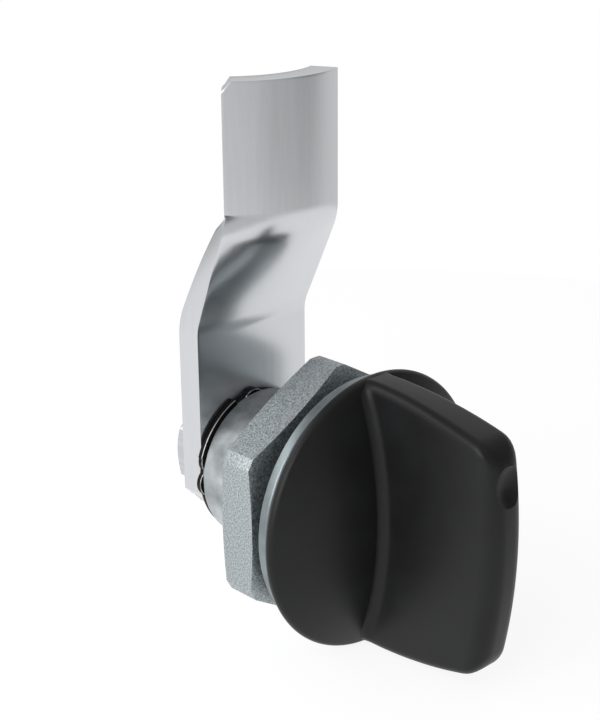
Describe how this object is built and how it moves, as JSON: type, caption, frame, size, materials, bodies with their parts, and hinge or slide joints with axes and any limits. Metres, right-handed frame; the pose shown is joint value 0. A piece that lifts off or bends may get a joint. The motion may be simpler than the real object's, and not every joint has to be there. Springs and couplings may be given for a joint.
{
  "type": "quarter-turn cam latch",
  "caption": "Quarter-turn cam latch for a sheet panel: wing knob, round flanged sleeve with a hexagon nut, and a cranked cam with a crowned tip that swings behind the frame.",
  "frame": {"origin": "centre of the flange's back face, where the panel's front face lies, on the latch axis", "axes": "+Y along the latch axis from the knob to the back; +Z along the closed cam, towards its tip; +X to the right as seen by someone who faces the knob"},
  "size_m": [0.0312, 0.046, 0.0607],
  "materials": {
    "plated_casting": "dull bright plating on a zinc die casting",
    "seal_rubber": "matt black nitrile rubber",
    "blasted_zinc": "grainy blasted zinc die casting",
    "turned_steel": "turned steel, zinc plated",
    "black_nylon": "black glass-filled nylon, fine satin moulding",
    "black_steel": "blackened steel strip",
    "zinc_steel": "smooth zinc-plated steel strip with a soft gloss"
  },
  "bodies": {
    "housing": {"housing": "plated_casting", "panel_seal": "seal_rubber", "hex_nut": "blasted_zinc"},
    "rotor": {"wing_knob": "black_nylon", "spindle": "turned_steel", "shaft_o_ring": "seal_rubber", "stop_disc": "black_steel", "cam": "zinc_steel", "lock_washer": "turned_steel", "cam_screw": "turned_steel"}
  },
  "joints": [
    {"name": "quarter_turn", "type": "hinge", "parent": "housing", "child": "rotor", "pos_m": [0, 0, 0], "axis": [0, 1, 0], "range_deg": [0, 90]}
  ]
}
